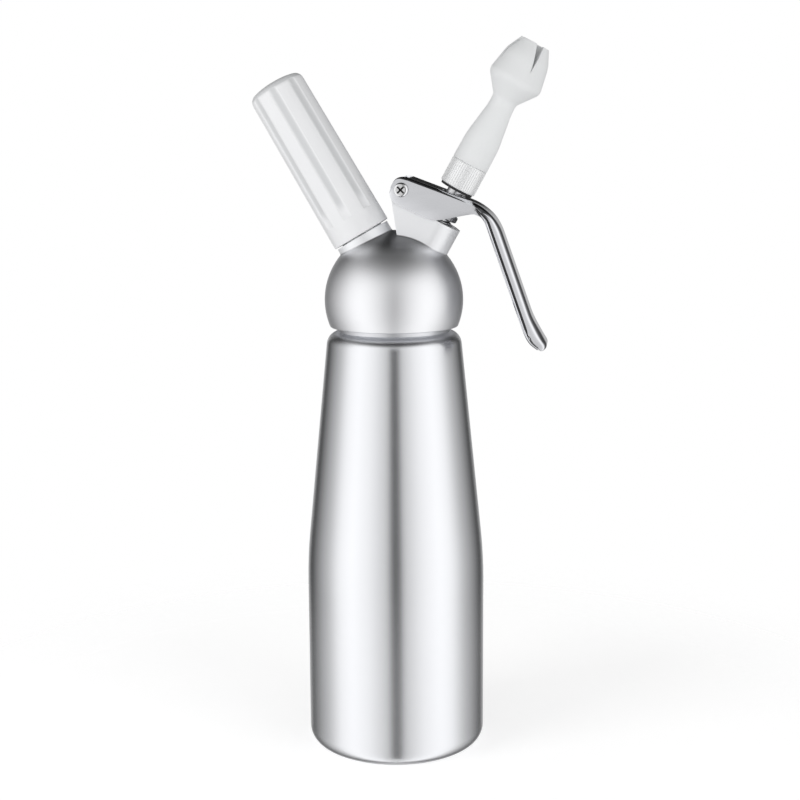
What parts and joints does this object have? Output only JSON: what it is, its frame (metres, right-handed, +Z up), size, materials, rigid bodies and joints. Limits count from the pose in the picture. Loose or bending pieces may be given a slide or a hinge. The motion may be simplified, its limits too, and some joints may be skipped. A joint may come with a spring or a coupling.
{
  "type": "whipped cream dispenser",
  "caption": "Pressurised whipped cream dispenser: tapered metal bottle, domed head, gas charger holder, lever valve and tulip decorating tip.",
  "frame": {"origin": "centre of the bottle's base, on the plane that the base ring stands on", "axes": "+Z up along the bottle's axis, +X towards the lever and the tip, -X towards the charger holder"},
  "size_m": [0.1255, 0.0772, 0.307],
  "materials": {
    "bottle_aluminium": "satin brushed",
    "head_aluminium": "satin cast",
    "grey_silicone": "matt",
    "stainless_steel": "turned",
    "black_rubber": "matt",
    "valve_collar_steel": "turned, dark",
    "polished_steel": "polished",
    "screw_steel": "polished",
    "adapter_metal": "bright, knurled",
    "tip_plastic": "semi-gloss",
    "charger_steel": "satin zinc",
    "insert_aluminium": "turned",
    "holder_plastic": "semi-gloss"
  },
  "bodies": {
    "bottle": {"bottle": "bottle_aluminium"},
    "gasket": {"head_gasket": "grey_silicone"},
    "head": {"head": "head_aluminium", "pivot_sleeve": "screw_steel", "pivot_screw": "screw_steel", "return_spring": "stainless_steel", "check_valve": "black_rubber", "piercing_pin": "stainless_steel", "pin_ring": "black_rubber", "charger_port_seal": "grey_silicone"},
    "valve": {"valve_stem": "stainless_steel", "valve_seal": "black_rubber", "stem_ring": "black_rubber", "stem_collar": "valve_collar_steel"},
    "lever": {"lever": "polished_steel"},
    "washer": {"adapter_washer": "black_rubber"},
    "adapter": {"nozzle_adapter": "adapter_metal"},
    "tip_seal": {"tip_seal": "grey_silicone"},
    "tip": {"decorating_tip": "tip_plastic"},
    "charger": {"gas_charger": "charger_steel"},
    "holder": {"holder_sleeve": "holder_plastic", "holder_insert": "insert_aluminium"}
  },
  "joints": [
    {"name": "head_rise", "type": "slide", "parent": "bottle", "child": "gasket", "axis": [0, 0, 1], "range_m": [0, 0.009]},
    {"name": "head_unscrew", "type": "hinge", "parent": "gasket", "child": "head", "pos_m": [0, 0, 0.2], "axis": [0, 0, 1], "range_deg": [0, 1080]},
    {"name": "adapter_rise", "type": "slide", "parent": "valve", "child": "washer", "axis": [0.4802, 0, 0.8771], "range_m": [0, 0.004]},
    {"name": "adapter_unscrew", "type": "hinge", "parent": "washer", "child": "adapter", "pos_m": [0.0019, 0, 0.1985], "axis": [0.4802, 0, 0.8771], "range_deg": [0, 1441]},
    {"name": "tip_rise", "type": "slide", "parent": "adapter", "child": "tip_seal", "axis": [0.4802, 0, 0.8771], "range_m": [0, 0.0045]},
    {"name": "tip_unscrew", "type": "hinge", "parent": "tip_seal", "child": "tip", "pos_m": [0.0019, 0, 0.1985], "axis": [0.4802, 0, 0.8771], "range_deg": [0, 1081]},
    {"name": "holder_rise", "type": "slide", "parent": "head", "child": "charger", "axis": [-0.5045, 0, 0.8634], "range_m": [0, 0.0075]},
    {"name": "holder_unscrew", "type": "hinge", "parent": "charger", "child": "holder", "pos_m": [0.0019, 0, 0.1985], "axis": [-0.5045, 0, 0.8634], "range_deg": [0, 1801]},
    {"name": "lever_press", "type": "hinge", "parent": "head", "child": "lever", "pos_m": [0.0046, 0, 0.2444], "axis": [0, 1, 0], "range_deg": [0, 4.9], "stiffness_Nm_per_rad": 1.2, "springref_deg": -6.88},
    {"name": "valve_travel", "type": "slide", "parent": "head", "child": "valve", "axis": [-0.4802, 0, -0.8771], "range_m": [0, 0.0017], "deforming": ["return_spring"]}
  ],
  "couplings": [
    {"joint": "head_rise", "follows": "head_unscrew", "m_per_rad": 0.00047746},
    {"joint": "adapter_unscrew", "follows": "adapter_rise", "rad_per_m": 6283.2},
    {"joint": "tip_unscrew", "follows": "tip_rise", "rad_per_m": 4188.8},
    {"joint": "holder_unscrew", "follows": "holder_rise", "rad_per_m": 4188.8},
    {"joint": "valve_travel", "follows": "lever_press", "m_per_rad": 0.01967}
  ]
}
